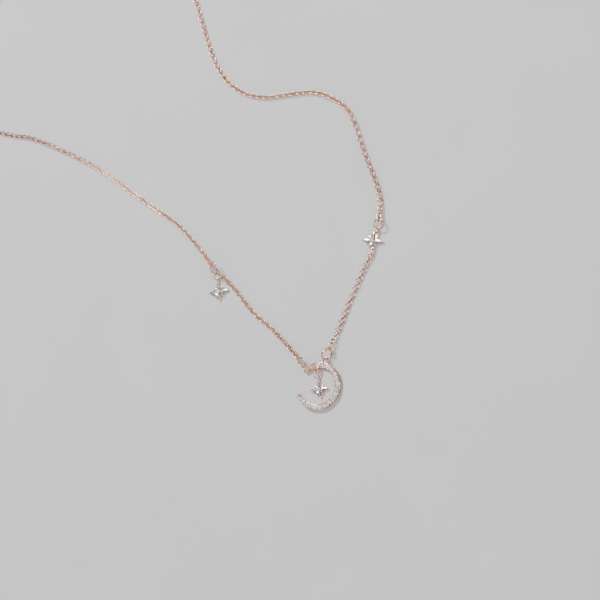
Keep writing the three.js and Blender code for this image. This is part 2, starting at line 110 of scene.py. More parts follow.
RIGHT_UPPER_ROUTE = [
    (12.32, 43.0), (12.1, 46.3), (10.8, 50.4), (8.9, 54.4), (7.1, 57.9), (5.6, 61.3),
    (4.1, 64.8), (2.5, 68.2), (0.7, 71.0), (-1.8, 73.3), (-4.7, 75.0), (-7.9, 76.3),
    (-11.4, 77.0), (-17.2, 76.9), (-23.6, 76.6), (-30.0, 78.0), (-35.8, 81.4), (-40.4, 86.4),
    (-44.0, 92.6), (-47.2, 99.6), (-50.6, 107.2), (-54.9, 114.2), (-60.6, 119.6),
    (-68.0, 123.4), (-76.4, 125.6),
]
EXTENDER_ROUTE = [
    (-83.4, 127.6), (-88.0, 129.6), (-94.4, 131.6), (-102.0, 133.2), (-110.0, 133.8),
    (-118.0, 133.0), (-125.4, 130.4), (-130.4, 126.9),
]


def heading_of(route):
    """The direction, in degrees, of the last stretch of a route."""
    a, b = route[-2:]
    return math.degrees(math.atan2(b[1] - a[1], b[0] - a[0]))


def toward(degrees, length=1.0):
    """A level step of that length in that direction."""
    turn = math.radians(degrees)
    return Vector((math.cos(turn) * length, math.sin(turn) * length, 0.0))


def middle(node):
    """The middle of a CAD node's box, in metres."""
    low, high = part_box(node)
    return (Vector(low) + Vector(high)) / 2


def smooth_step(t):
    t = max(0.0, min(1.0, t))
    return t * t * (3 - 2 * t)


# ---- Materials ---------------------------------------------------------------------------

TONE_SCALE, MARK_SCALE = 420.0, 2500.0  # how fine a metal's drift in tone and its marks are
MARK_STRENGTH, MARK_DEPTH = 0.05, 0.00003
PAINTED_GLINT_SCALE = 3400.0  # cells per metre of the gems' painted glints and painted dark reflections


def new_material(name):
    material = bpy.data.materials.new(name)
    material.use_nodes = True
    tree = material.node_tree
    return material, tree, tree.nodes["Principled BSDF"]


def mapped_noise(tree, scale, detail, stretch=(1.0, 1.0, 1.0)):
    place = tree.nodes.new("ShaderNodeTexCoord")
    mapping = tree.nodes.new("ShaderNodeMapping")
    mapping.inputs["Scale"].default_value = stretch
    noise = tree.nodes.new("ShaderNodeTexNoise")
    noise.inputs["Scale"].default_value = scale
    noise.inputs["Detail"].default_value = detail
    tree.links.new(place.outputs["Object"], mapping.inputs["Vector"])
    tree.links.new(mapping.outputs["Vector"], noise.inputs["Vector"])
    return noise


def ranged(tree, source, low, high, start=0.3, stop=0.7):
    """The source's values from start to stop, spread over low to high."""
    mapper = tree.nodes.new("ShaderNodeMapRange")
    mapper.inputs["From Min"].default_value = start
    mapper.inputs["From Max"].default_value = stop
    mapper.inputs["To Min"].default_value = low
    mapper.inputs["To Max"].default_value = high
    tree.links.new(source, mapper.inputs["Value"])
    return mapper.outputs["Result"]


def blended(tree, source, dark, light):
    """A colour that runs from dark to light as the source rises."""
    tone = tree.nodes.new("ShaderNodeMix")
    tone.data_type = "RGBA"
    tone.inputs[6].default_value = (*dark, 1.0)
    tone.inputs[7].default_value = (*light, 1.0)
    tree.links.new(source, tone.inputs[0])
    return tone.outputs[2]


def metal(name, light, dark, smooth, rough):
    """A plated metal: its tone drifts a little, and fine marks change how sharply it reflects."""
    material, tree, shader = new_material(name)
    shader.inputs["Metallic"].default_value = 1.0
    drift = mapped_noise(tree, TONE_SCALE, 3.0)
    tone = blended(tree, ranged(tree, drift.outputs["Fac"], 0.0, 1.0), dark, light)
    tree.links.new(tone, shader.inputs["Base Color"])
    marks = mapped_noise(tree, MARK_SCALE, 4.0, (1.0, 1.0, 2.2))
    tree.links.new(ranged(tree, marks.outputs["Fac"], smooth, rough), shader.inputs["Roughness"])
    relief = tree.nodes.new("ShaderNodeBump")
    relief.inputs["Strength"].default_value = MARK_STRENGTH
    relief.inputs["Distance"].default_value = MARK_DEPTH
    tree.links.new(marks.outputs["Fac"], relief.inputs["Height"])
    tree.links.new(relief.outputs["Normal"], shader.inputs["Normal"])
    return material


def gem(name):
    """A colourless stone with a faint cold tint, painted in patches of white highlight and darker
    painted reflection by turns.
    """
    material, tree, shader = new_material(name)
    shader.inputs["Transmission Weight"].default_value = 0.25
    shader.inputs["IOR"].default_value = 2.2
    shader.inputs["Roughness"].default_value = 0.02
    shader.inputs["Coat Weight"].default_value = 1.0
    shader.inputs["Coat Roughness"].default_value = 0.02
    place = tree.nodes.new("ShaderNodeTexCoord")
    # Painted glints and painted dark reflections: cells of white or dark colour across the stone.
    cut = tree.nodes.new("ShaderNodeTexVoronoi")
    cut.inputs["Scale"].default_value = PAINTED_GLINT_SCALE
    painted_glint = tree.nodes.new("ShaderNodeSeparateColor")
    tree.links.new(place.outputs["Object"], cut.inputs["Vector"])
    tree.links.new(cut.outputs["Color"], painted_glint.inputs["Color"])
    shade = ranged(tree, painted_glint.outputs["Red"], 0.0, 1.0, 0.05, 0.60)
    tone = blended(tree, shade, (0.16, 0.18, 0.26), (1.0, 0.99, 1.0))
    tree.links.new(tone, shader.inputs["Base Color"])
    return material


ROSE_GOLD = metal("rose_gold", (0.90, 0.54, 0.39), (0.76, 0.41, 0.28), 0.06, 0.15)
# A paler copy of the same rose gold: a painted highlight, lighter as if the light fell full on the
# stars, lever, rivet and drop.
PAINTED_LIT_GOLD = metal("bright_gold", (0.98, 0.84, 0.77), (0.88, 0.68, 0.58), 0.06, 0.16)
CHAIN_GOLD = metal("chain_gold", (0.86, 0.49, 0.34), (0.70, 0.35, 0.22), 0.07, 0.16)
SPRING_STEEL = metal("spring_steel", (0.62, 0.62, 0.64), (0.52, 0.52, 0.55), 0.18, 0.32)
CRYSTAL = gem("crystal")

# ---- Making and placing pieces -----------------------------------------------------------


def new_piece(name, mesh, material, body, nodes, smooth=True):
    piece = bpy.data.objects.new(name, mesh)
    bpy.context.scene.collection.objects.link(piece)
    mesh.materials.append(material)
    if smooth:
        mesh.polygons.foreach_set("use_smooth", [True] * len(mesh.polygons))
    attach(piece, body)
    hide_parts(*nodes)
    return piece


def mesh_of(name, verts, faces):
    mesh = bpy.data.meshes.new(name)
    mesh.from_pydata([tuple(v) for v in verts], [], faces)
    mesh.validate()
    mesh.update()
    return mesh


def placed(centre, heading=0.0, pitch=0.0, roll=0.0):
    """Heading turns about Z, pitch lifts the +X end, roll turns about X."""
    turn = Euler((math.radians(roll), -math.radians(pitch), math.radians(heading)), "XYZ")
    return Matrix.Translation(centre) @ turn.to_matrix().to_4x4()


def tube_along(points, radius, sides, closed):
    """Rings of vertices and faces of a round wire along points, with flat ends where it is open."""
    count = len(points)
    tangents = []
    for i in range(count):
        before = points[i - 1] if closed or i > 0 else points[i]
        after = points[(i + 1) % count] if closed or i < count - 1 else points[i]
        tangents.append((after - before).normalized())
    normal = tangents[0].orthogonal().normalized()
    verts = []
    for point, tangent in zip(points, tangents):
        normal = (normal - tangent * normal.dot(tangent)).normalized()
        side = tangent.cross(normal)
        for k in range(sides):
            turn = 2 * math.pi * k / sides
            verts.append(point + (normal * math.cos(turn) + side * math.sin(turn)) * radius)
    faces = []
    for i in range(count if closed else count - 1):
        j = (i + 1) % count
        for k in range(sides):
            n = (k + 1) % sides
            faces.append((i * sides + k, i * sides + n, j * sides + n, j * sides + k))
    if not closed:
        faces.append(tuple(reversed(range(sides))))
        faces.append(tuple((count - 1) * sides + k for k in range(sides)))
    return verts, faces


def oval_points(half_length, half_width, count, slit=0.0):
    """Points round an oval in the XY plane, open by slit millimetres at its +Y side."""
    straight = half_length - half_width
    gap = math.asin(min(1.0, slit / 2 / half_width))
    total = count if slit == 0 else count + 1
    points = []
    for i in range(total):
        t = math.pi / 2 + gap + (2 * math.pi - 2 * gap) * i / count
        x, y = half_width * math.cos(t), half_width * math.sin(t)
        shift = straight * max(-1.0, min(1.0, x / (half_width * 0.25)))
        points.append(Vector((x + shift, y, 0.0)))
    return points


def wire_oval(half_length, half_width, wire, count=48, sides=14, slit=0.0):
    points = oval_points(half_length, half_width, count, slit)
    return tube_along(points, wire, sides, slit == 0)


def moved(verts, matrix):
    return [matrix @ v for v in verts]


def merged(parts):
    """One list of vertices and faces from several."""
    verts, faces = [], []
    for part_verts, part_faces in parts:
        base = len(verts)
        verts.extend(part_verts)
        faces.extend(tuple(base + i for i in face) for face in part_faces)
    return verts, faces


def scaled(verts):
    return [v * MM for v in verts]


def ring_piece(name, body, size, turn, material=ROSE_GOLD, slit=0.0):
    """A ring or link at the middle of its CAD node's box, turned by heading, pitch and roll."""
    half_length, half_width, wire = size
    verts, faces = wire_oval(half_length, half_width, wire, slit=slit)
    verts = moved(scaled(verts), placed(middle(name), *turn))
    mesh = mesh_of(name + "_look", verts, faces)
    return new_piece(name + "_look", mesh, material, body, [name])


# ---- Chains ------------------------------------------------------------------------------

CURVE_SAMPLES = 24  # samples between two points of a route
ROLL_CHANGE = 8.0  # millimetres over which the links go from one pair of rolls to the other
ROLL_JITTER = 5.0
BLEND_LINKS = 5  # links over which the rolls come round to the end link's
RUN_UP = 4.5  # millimetres over which a chain rises to its end link
FLOOR_GAP = 0.01
SAMPLES_PER_LINK = 8
INSIDE = 4  # samples at each end of a chain's line that lie inside its end link


def smooth_route(points, step):
    """A centripetal Catmull-Rom line through points, sampled every step."""
    ends = [points[0] * 2 - points[1], *points, points[-1] * 2 - points[-2]]
    line = []
    for i in range(1, len(ends) - 2):
        p0, p1, p2, p3 = ends[i - 1 : i + 3]
        t0 = 0.0
        t1 = t0 + math.sqrt((p1 - p0).length)
        t2 = t1 + math.sqrt((p2 - p1).length)
        t3 = t2 + math.sqrt((p3 - p2).length)
        for k in range(CURVE_SAMPLES):
            t = t1 + (t2 - t1) * k / CURVE_SAMPLES
            a1 = p0 * ((t1 - t) / (t1 - t0)) + p1 * ((t - t0) / (t1 - t0))
            a2 = p1 * ((t2 - t) / (t2 - t1)) + p2 * ((t - t1) / (t2 - t1))
            a3 = p2 * ((t3 - t) / (t3 - t2)) + p3 * ((t - t2) / (t3 - t2))
            b1 = a1 * ((t2 - t) / (t2 - t0)) + a2 * ((t - t0) / (t2 - t0))
            b2 = a2 * ((t3 - t) / (t3 - t1)) + a3 * ((t - t1) / (t3 - t1))
            line.append(b1 * ((t2 - t) / (t2 - t1)) + b2 * ((t - t1) / (t2 - t1)))
    line.append(points[-1].copy())
    lengths = [0.0]
    for a, b in zip(line, line[1:]):
        lengths.append(lengths[-1] + (b - a).length)
    total = lengths[-1]
    count = max(2, round(total / step))
    out, j = [], 0
    for i in range(count + 1):
        want = total * i / count
        while j < len(line) - 2 and lengths[j + 1] < want:
            j += 1
        span = lengths[j + 1] - lengths[j]
        out.append(line[j].lerp(line[j + 1], (want - lengths[j]) / span if span else 0.0))
    return out, total


def half_turn(degrees):
    """The same roll between -90 and 90: a link looks the same after half a turn."""
    return (degrees + 90.0) % 180.0 - 90.0


def chain_piece(name, body, route, ends, size, step, lay, seed):
    """Interlocking links along a route, from one end link's centre to the other's.

    ends are the two end links' nodes with the roll of each, seen along the route. Away from them
    the links take two rolls by turns, one pair near the start of the chain and one for the rest,
    with the distance in millimetres at which they change: lay is (pair, pair, distance).
    """
    half_length, half_width, wire = size
    rng = random.Random(seed)
    first, last = (middle(node) for node, _ in ends)
    on_floor = [PENDANT + Vector((x, y, 0.0)) * MM for x, y in route]
    points = [first, *on_floor[1:-1], last]
    for p in points[1:-1]:
        p.z = 0.0
    line, total = smooth_route(points, step * MM / SAMPLES_PER_LINK)
    spacing = total / (len(line) - 1)
    near_pair, far_pair, change = lay

    def roll_at(distance, odd):
        t = smooth_step((distance / MM - change) / ROLL_CHANGE)
        return near_pair[odd] + (far_pair[odd] - near_pair[odd]) * t

    def rest_at(distance):
        steepest = max(abs(math.sin(math.radians(roll_at(distance, odd)))) for odd in (0, 1))
        return (half_width * steepest + wire + FLOOR_GAP) * MM

    run_up = RUN_UP * MM
    for i, p in enumerate(line):
        from_first, from_last = spacing * i, total - spacing * i
        rest = rest_at(from_first)
        lift_first = max(0.0, 1 - from_first / run_up) * (first.z - rest)
        lift_last = max(0.0, 1 - from_last / run_up) * (last.z - rest)
        p.z = rest + (lift_first if abs(lift_first) > abs(lift_last) else lift_last)
    phase = min((0, 1), key=lambda odd: abs(half_turn(ends[0][1] - near_pair[odd])))
    from_start = half_turn(ends[0][1] - near_pair[phase])

    def from_end(count):
        return half_turn(ends[1][1] - far_pair[(count + phase) % 2])

    fewest = math.ceil(total / (step * MM))
    count = min((fewest, fewest + 1), key=lambda links: abs(from_end(links)))
    template, faces = wire_oval(half_length, half_width, wire, 26, 12)
    template = scaled(template)
    parts = []
    for i in range(1, count):
        where = total * i / count / spacing
        k = min(int(where), len(line) - 2)
        centre = line[k].lerp(line[k + 1], where - k)
        ahead = line[min(k + 3, len(line) - 1)] - line[max(k - 3, 0)]
        along = ahead.normalized()
        side = UP.cross(along).normalized()
        up = along.cross(side)
        roll = roll_at(total * i / count, (i + phase) % 2) + rng.uniform(-ROLL_JITTER, ROLL_JITTER)
        roll += (max(0.0, 1 - i / BLEND_LINKS) * from_start
                 + max(0.0, 1 - (count - i) / BLEND_LINKS) * from_end(count))
        turn = Matrix((along, side, up)).transposed().to_4x4()
        spin = Matrix.Rotation(math.radians(roll), 4, "X")
        parts.append((moved(template, Matrix.Translation(centre) @ turn @ spin), faces))
    verts, all_faces = merged(parts)
    mesh = mesh_of(name + "_links", verts, all_faces)
    piece = new_piece(name + "_links", mesh, CHAIN_GOLD, body, [name])
    return piece, line, total


LINK = (LINK_HALF_LENGTH, LINK_HALF_WIDTH, LINK_WIRE)
FINE_LINK = (0.71, 0.515, 0.14)  # the links between the end links: finer wire, a wider hole
LONG_LINK = (LONG_HALF_LENGTH, LONG_HALF_WIDTH, LONG_WIRE)

# Each end link's heading, pitch and roll. It rides on the chain that its name begins with.
END_LINKS = {
    "left_lower_chain_link_at_pendant": (137, -4, 44.1),
    "left_lower_chain_link_at_charm": (-37, -16.5, 130.5),
    "left_upper_chain_link_at_charm": (137, -19.5, 67.5),
    "left_upper_chain_link_at_clasp": (heading_of(LEFT_UPPER_ROUTE) + 180, -8.1, 22.7),
    "right_lower_chain_link_at_pendant": (70, -38.8, -19.4),
    "right_lower_chain_link_at_star": (-96, 5.1, 86.7),
    "right_upper_chain_link_at_star": (91, -12.9, 97.2),
    "right_upper_chain_link_at_end": (heading_of(RIGHT_UPPER_ROUTE) + 180, -14, 111.9),
}
end_links = {
    node: ring_piece(node, node.split("_link_at_")[0], LINK, turn, CHAIN_GOLD)
    for node, turn in END_LINKS.items()
}


def cable_chain(name, start, end, route, step, lay, seed):
    """A chain from one end link to the other, whose roll is seen the other way round."""
    first, last = f"{name}_link_at_{start}", f"{name}_link_at_{end}"
    ends = [(first, END_LINKS[first][2]), (last, -END_LINKS[last][2])]
    return chain_piece(name, name, route, ends, FINE_LINK, step, lay, seed)


LEANING = (40, -50)  # the links lean to either side by turns
BY_TURNS = (10, -76)  # one link nearly flat, the next on edge
OPEN = (27, -62)  # between the two, so that the holes show

CHAINS = [
    ("left_lower_chain", "pendant", "charm", LEFT_LOWER_ROUTE, 1.1, (LEANING, LEANING, 0), 11),
    ("left_upper_chain", "charm", "clasp", LEFT_UPPER_ROUTE, 1.1, (LEANING, BY_TURNS, 20), 12),
    ("right_lower_chain", "pendant", "star", RIGHT_LOWER_ROUTE, 1.13, (OPEN, OPEN, 0), 13),
    ("right_upper_chain", "star", "end", RIGHT_UPPER_ROUTE, 1.02, (OPEN, OPEN, 0), 14),
]
left_lower, left_upper, right_lower, right_upper = [cable_chain(*chain) for chain in CHAINS]

extender_heading = heading_of(EXTENDER_ROUTE)
first_heading = math.degrees(math.atan2(*reversed(
    (PENDANT + Vector((*EXTENDER_ROUTE[0], 0.0)) * MM - middle("end_ring")).xy)))
for node, turn in (
    ("extender_link_at_ring", (first_heading, -5, 52)),
    ("extender_link_at_drop", (extender_heading, 4.8, 68)),
):
    end_links[node] = ring_piece(node, "extender", LONG_LINK, turn, CHAIN_GOLD)
extender = chain_piece(
    "extender_chain", "extender", EXTENDER_ROUTE,
    [("extender_link_at_ring", 52), ("extender_link_at_drop", 68)],
    LONG_LINK, LONG_STEP, ((45, -45), (45, -45), 0), 15)

# ---- Jump rings and small rings ----------------------------------------------------------

JUMP = (JUMP_RADIUS, JUMP_RADIUS, JUMP_WIRE)
for node, size, turn, slit in (
    ("left_jump_ring", (1.61, 1.61, JUMP_WIRE), (129, 15.3, -49.9), 0.06),
    ("right_jump_ring", JUMP, (80, 31.9, 66.3), 0.06),
    ("left_junction_ring", (1.74, 1.74, JUMP_WIRE), (129, 0, -38.6), 0.06),
    ("right_junction_ring", JUMP, (76, 12.9, -12.8), 0.06),
    ("right_star_ring", (0.55, 0.55, 0.14), (80, 38.1, 81.8), 0.04),
    ("left_star_ring", (0.9, 0.9, CHARM_RING_WIRE), (110.3, 10.9, 29.1), 0.04),
    ("centre_star_ring", (0.85, 0.85, CHARM_RING_WIRE), (101.6, 15.8, 46.3), 0.04),
    ("clasp_ring", (CLASP_RING_RADIUS, CLASP_RING_RADIUS, 0.15), (CLASP_HEADING, 0, 61), 0.05),
    ("end_ring", (1.3, 1.3, JUMP_WIRE), (heading_of(RIGHT_UPPER_ROUTE), 0, -34), 0.06),
):
    ring_piece(node, node, size, turn, slit=slit)

# ---- Shaping helpers ---------------------------------------------------------------------


def lathe(profile, sides):
    """A closed turned shape about Z from (radius, height) pairs that start and end on the axis."""
    verts, faces, rows = [], [], []
    for radius, height in profile:
        if radius == 0:
            rows.append([len(verts)] * sides)
            verts.append(Vector((0.0, 0.0, height)))
            continue
        rows.append(list(range(len(verts), len(verts) + sides)))
        verts.extend(toward(360 * k / sides, radius) + UP * height for k in range(sides))
    for low, high in zip(rows, rows[1:]):
        for k in range(sides):
            n = (k + 1) % sides
            ring = [low[k], low[n], high[n], high[k]]
            face = [v for i, v in enumerate(ring) if v not in ring[:i]]
            if len(face) > 2:
                faces.append(tuple(face))
    return verts, faces


def lofted(rows):
    """A closed skin over equal rows of points, capped at both ends."""
    size = len(rows[0])
    verts = [v for row in rows for v in row]
    faces = [tuple(reversed(range(size)))]
    for i in range(len(rows) - 1):
        for k in range(size):
            n = (k + 1) % size
            faces.append((i * size + k, i * size + n, (i + 1) * size + n, (i + 1) * size + k))
    faces.append(tuple((len(rows) - 1) * size + k for k in range(size)))
    return verts, faces


def bevelled_slab(outline, bottom, top, edge):
    """A plate with rounded edges from an outline of (x, y) millimetres."""
    shape = bmesh.new()
    corners = [shape.verts.new((x, y, bottom)) for x, y in outline]
    floor = shape.faces.new(corners)
    raised = bmesh.ops.extrude_face_region(shape, geom=[floor])["geom"]
    lifted = [v for v in raised if isinstance(v, bmesh.types.BMVert)]
    bmesh.ops.translate(shape, verts=lifted, vec=(0, 0, top - bottom))
    bmesh.ops.recalc_face_normals(shape, faces=shape.faces)
    if edge:
        rim = [e for e in shape.edges if abs(e.verts[0].co.z - e.verts[1].co.z) < 1e-6]
        bmesh.ops.bevel(shape, geom=rim, offset=edge, segments=3, profile=0.5, affect="EDGES")
    shape.verts.index_update()
    verts = [v.co.copy() for v in shape.verts]
    faces = [tuple(v.index for v in f.verts) for f in shape.faces]
    shape.free()
    return verts, faces


def temporary(name, verts, faces):
    piece = bpy.data.objects.new(name, mesh_of(name, verts, faces))
    bpy.context.scene.collection.objects.link(piece)
    return piece


def combined(name, start, additions=(), cuts=()):
    """The mesh of one solid with others joined to it and cut from it."""
    piece = temporary(name, *start)
    tools = [temporary(f"{name}_tool_{i}", *part) for i, part in enumerate([*additions, *cuts])]
    for i, tool in enumerate(tools):
        change = piece.modifiers.new(tool.name, "BOOLEAN")
        change.object = tool
        change.operation = "UNION" if i < len(additions) else "DIFFERENCE"
        change.solver = "EXACT"
    evaluated = piece.evaluated_get(bpy.context.evaluated_depsgraph_get())
    mesh = bpy.data.meshes.new_from_object(evaluated)
    mesh.name = name
    for thing in [piece, *tools]:
        old = thing.data
        bpy.data.objects.remove(thing)
        bpy.data.meshes.remove(old)
    return mesh


def settle(mesh, matrix, sharp=40.0):
    """Bring a mesh in millimetres to its place, smooth but for its sharp edges."""
    mesh.transform(Matrix.Diagonal((MM, MM, MM, 1.0)))
    mesh.transform(matrix)
    mesh.polygons.foreach_set("use_smooth", [True] * len(mesh.polygons))
    mesh.set_sharp_from_angle(angle=math.radians(sharp))
    mesh.update()
    return mesh


def brilliant(radius):
    """A round brilliant: table, star and kite facets, girdle and pavilion, girdle at z = 0."""
    rows = [
        [toward(45 * k, 0.56) + UP * 0.34 for k in range(8)],
        [toward(45 * k + 22.5, 0.8) + UP * 0.2 for k in range(8)],
        [toward(22.5 * k, 1.0) + UP * 0.03 for k in range(16)],
        [toward(22.5 * k, 1.0) - UP * 0.03 for k in range(16)],
        [toward(45 * k + 22.5, 0.42) - UP * 0.52 for k in range(8)],
        [Vector((0.0, 0.0, -0.86))],
    ]
    start, verts = [], []
    for row in rows:
        start.append(len(verts))
        verts.extend(v * radius for v in row)
    table, star, upper, lower, pavilion, culet = start
    faces = [tuple(table + k for k in range(8))]
    for k in range(8):
        n = (k + 1) % 8
        a, b, c = 2 * k, 2 * k + 1, (2 * k + 2) % 16
        faces.append((table + n, table + k, star + k))
        faces.append((table + k, star + (k - 1) % 8, upper + a, star + k))
        faces.append((star + k, upper + a, upper + b))
        faces.append((star + k, upper + b, upper + c))
        faces.append((lower + a, pavilion + (k - 1) % 8, culet, pavilion + k))
        faces.append((lower + b, lower + a, pavilion + k))
        faces.append((lower + c, lower + b, pavilion + k))
        faces.append((upper + a, lower + a, lower + b, upper + b))
        faces.append((upper + b, lower + b, lower + c, upper + c))
    return verts, faces


def gem_piece(node, body, radius, centre, heading):
    verts, faces = brilliant(radius)
    mesh = mesh_of(node + "_look", moved(scaled(verts), placed(centre, heading)), faces)
    return new_piece(node + "_look", mesh, CRYSTAL, body, [node], smooth=False)


# ---- Crescent ----------------------------------------------------------------------------

GRAIN_SUNK = 0.02
HORN_FIRST, HORN_STEP, HORN_SUNK = 107.4, 4.4, 0.06  # the rows of grains on the upper horn
TIP_FIRST, TIP_STEP, TIP_RADIUS = -148.5, -2.6, 0.13  # the grains beyond the lower horn's stones


def band_at(angle):
    """Radius and width of the band: a fine horn below, at the outer edge, a blunt one above."""
    from_lower = smooth_step(((angle - LOWER_HORN) / LOWER_TAPER + 0.15) / 1.15)
    from_upper = smooth_step(((UPPER_HORN - angle) / UPPER_TAPER + 0.15) / 1.15)
    lower = LOWER_WIDTH + (BAND_WIDTH - LOWER_WIDTH) * from_lower
    upper = UPPER_WIDTH + (BAND_WIDTH - UPPER_WIDTH) * from_upper
    return BAND_RADIUS + (BAND_WIDTH - lower) * 0.35, min(lower, upper)


def band_size(angle):
    return band_at(angle)[1] / BAND_WIDTH


def rounded_section(half, low_half, height, low_edge, high_edge):
    """Across a band: flat below and above with rounded edges, as (across, height) pairs."""
    corners = [
        (-low_half + low_edge, low_edge, low_edge, 270, 180),
        (-half + high_edge, height - high_edge, high_edge, 180, 90),
        (half - high_edge, height - high_edge, high_edge, 90, 0),
        (low_half - low_edge, low_edge, low_edge, 0, -90),
    ]
    section = []
    for across, up, radius, start, stop in corners:
        for k in range(5):
            turn = math.radians(start + (stop - start) * k / 4)
            section.append((across + radius * math.cos(turn), up + radius * math.sin(turn)))
    return section


def band():
    """The crescent's bar: rows across it from horn to horn, closing in a round at each tip."""
    rows = []
    steps = 140
    horn_steps = [0.02, 0.3, 0.62, 0.88]
    stations = [(LOWER_HORN, -1, 1 - h) for h in horn_steps]
    stations += [
        (LOWER_HORN + (UPPER_HORN - LOWER_HORN) * i / steps, 0, 1.0) for i in range(steps + 1)]
    stations += [(UPPER_HORN, 1, 1 - h) for h in reversed(horn_steps)]
    for angle, end, out in stations:
        radius, width = band_at(angle)
        half = width / 2
        shrink = 1.0 if end == 0 else math.sqrt(max(0.0, 1 - out * out))
        centre = toward(angle, radius)
        outward = toward(angle)
        onward = toward(angle + 90) * (end * half * out)
        low_half = half - min(UNDERCUT, width * 0.2)
        low_edge, high_edge = min(0.1, low_half * 0.6), min(0.2, half * 0.7)
        row = []
        for across, up in rounded_section(half, low_half, BAND_HEIGHT, low_edge, high_edge):
            squeezed = BAND_HEIGHT / 2 + (up - BAND_HEIGHT / 2) * (0.5 + 0.5 * shrink)
            row.append(centre + onward + outward * (across * max(shrink, 0.08)) + UP * squeezed)
        rows.append(row)
    return lofted(rows)


def bead(centre, radius):
    profile = [(0.0, -radius)]
    profile += [(radius * math.cos(t), radius * math.sin(t))
                for t in (math.radians(a) for a in range(-60, 61, 30))]
    profile.append((0.0, radius))
    verts, faces = lathe(profile, 10)
    return [v + centre for v in verts], faces


def eyelet_wire(angle, reach, radius):
    verts, faces = wire_oval(radius, radius, EYELET_WIRE, 40, 12)
    centre = toward(angle, reach) + UP * EYELET_HEIGHT
    return [v + centre for v in verts], faces


def seat(angle):
    size = band_size(angle)
    profile = [(0, -SEAT_DEPTH), (0.3, 0.02 - SEAT_DEPTH), (0.6, -0.16), (0.64, -0.1),
               (SEAT_RADIUS, 0.3), (0, 0.3)]
    verts, faces = lathe([(r * size, z * size) for r, z in profile], 24)
    centre = toward(angle, band_at(angle)[0]) + UP * BAND_HEIGHT
    return [v + centre for v in verts], faces


def prongs(angle, size):
    """A pair of grains raised across the band to hold the stones either side."""
    radius = band_at(angle)[0]
    return [
        bead(toward(angle, radius + side * size) + UP * (BAND_HEIGHT - GRAIN_SUNK), 0.15 * size)
        for side in (-0.54, 0.54)]


crescent_mesh = combined(
    "crescent_frame_look", band(), cuts=[merged([seat(a) for a in STONE_ANGLES])])
details = [eyelet_wire(*eyelet) for eyelet in EYELETS]
along_band = sorted(STONE_ANGLES)
for angle, following in zip(along_band, along_band[1:] + [along_band[-1] + STONE_STEP]):
    between = (angle + following) / 2
    details.extend(prongs(between, band_size(between)))
for k in range(7):
    angle = HORN_FIRST + HORN_STEP * k
    radius = band_at(angle)[0]
    for side in (-0.36, 0.0, 0.36):
        spot = toward(angle + (HORN_STEP / 2 if side == 0 else 0), radius + side * band_size(angle))
        details.append(bead(spot + UP * (BAND_HEIGHT - HORN_SUNK), 0.2 * band_size(angle)))
for k in range(3):
    angle = TIP_FIRST + TIP_STEP * k
    spot = toward(angle, band_at(angle)[0]) + UP * (BAND_HEIGHT - GRAIN_SUNK)
    details.append(bead(spot, TIP_RADIUS))
detail_mesh = mesh_of("crescent_details", *merged(details))
whole = bmesh.new()
whole.from_mesh(crescent_mesh)
whole.from_mesh(detail_mesh)
whole.to_mesh(crescent_mesh)
whole.free()
bpy.data.meshes.remove(detail_mesh)
settle(crescent_mesh, Matrix.Translation(PENDANT))
new_piece("crescent_frame_look", crescent_mesh, ROSE_GOLD, "pendant", ["crescent_frame"],
          smooth=False)
for i, angle in enumerate(STONE_ANGLES):
    spot = PENDANT + (toward(angle, band_at(angle)[0]) + UP * (BAND_HEIGHT - 0.04)) * MM
    gem_piece(f"crescent_stone_{i + 1:02d}", "pendant", STONE_RADIUS * band_size(angle), spot,
              angle + 9 * (i % 5))

# ---- Stars -------------------------------------------------------------------------------

STAR_SIDE, STAR_UPRIGHT, STAR_DIAGONAL, STAR_THICKNESS = 2.8, 2.36, 1.8, 0.85
BEZEL_RADIUS, BEZEL_TOP, STAR_STONE = 0.98, 1.15, 0.68
RAY_START = 0.35  # how far from a star's centre its rays begin
CONNECTOR_UPPER, CONNECTOR_LOWER = (0.66, 2.0), (0.47, -2.22)


def ray(angle, length, root, thickness):
    """One tapering ray with a rounded tip, a flat back and a softly crowned face."""
    rows = []
    steps = 14
    for i in range(steps + 1):
        t = i / steps
        t = 1 - (1 - t) ** 1.6
        half = root * (1 - 0.34 * t * t) * math.sqrt(max(0.0, 1 - t ** 6))
        half = max(half, 0.012)
        out = RAY_START + (length - RAY_START) * t
        top = thickness * (1 - 0.10 * t ** 4)
        across = [-1.0, -0.86, 0.86, 1.0, 1.0, 0.9, 0.55, 0.0, -0.55, -0.9, -1.0]
        heights = [0.07, 0.0, 0.0, 0.07]
        heights += [top + z for z in (-0.2, -0.06, 0.0, 0.03, 0.0, -0.06, -0.2)]
        rows.append([
            toward(angle, out) + toward(angle + 90, half * x) + UP * z
            for x, z in zip(across, heights)])
    return lofted(rows)


def star_mesh(name, loops, size):
    """Eight rays, long and short by turns, round the turned cup that holds the stone."""
    parts = []
    for i in range(8):
        straight = STAR_UPRIGHT if i % 4 == 0 else STAR_SIDE
        length = STAR_DIAGONAL if i % 2 else straight
        root = (0.43 if i % 2 else 0.48) * size
        thickness = STAR_THICKNESS * (0.9 if i % 2 else 1.0)
        parts.append(ray(90 + 45 * i, length * size, root, thickness))
    cup = [
        (0, 0.0), (0.9, 0.0), (BEZEL_RADIUS, 0.08), (BEZEL_RADIUS, BEZEL_TOP - 0.14),
        (0.95, BEZEL_TOP - 0.04), (0.88, BEZEL_TOP), (0.8, BEZEL_TOP - 0.02),
        (0.745, BEZEL_TOP - 0.1), (0.7, BEZEL_TOP - 0.24), (0.3, BEZEL_TOP - 0.7),
        (0, BEZEL_TOP - 0.74)]
    parts.append(lathe([(radius * size, height) for radius, height in cup], 48))
    parts.extend(loops)
    return mesh_of(name, *merged(parts))


